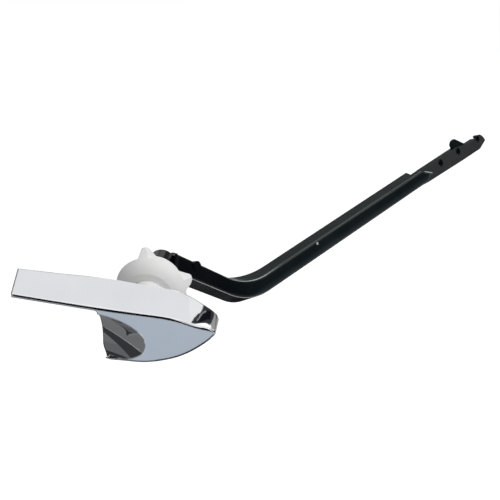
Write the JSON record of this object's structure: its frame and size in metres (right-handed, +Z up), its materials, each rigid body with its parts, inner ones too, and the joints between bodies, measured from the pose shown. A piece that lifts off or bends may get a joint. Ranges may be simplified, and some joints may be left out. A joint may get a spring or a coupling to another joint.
{
  "type": "cistern lever",
  "caption": "Side-blade cistern lever: a chromed handle with a finger scoop turns in a wall bushing and lifts a bent black arm with chain holes inside the tank.",
  "frame": {"origin": "on the pivot axis, in the plane of the bushing flange's back, which is the outer face of the tank wall", "axes": "+Y runs along the pivot into the tank, +Z is up, and the handle's blade points to -X"},
  "size_m": [0.1997, 0.2497, 0.051],
  "materials": {
    "chrome": "bright chrome plate on a casting",
    "white_plastic": "moulded, low gloss",
    "black_plastic": "moulded, satin",
    "steel": "plated screw"
  },
  "bodies": {
    "fixing": {"bushing": "white_plastic", "mounting_nut": "white_plastic"},
    "lever": {"handle": "chrome", "arm": "black_plastic", "arm_screw": "steel"}
  },
  "joints": [
    {"name": "lever_pivot", "type": "hinge", "parent": "fixing", "child": "lever", "pos_m": [0, 0, 0], "axis": [0, -1, 0], "range_deg": [0, 35]}
  ]
}
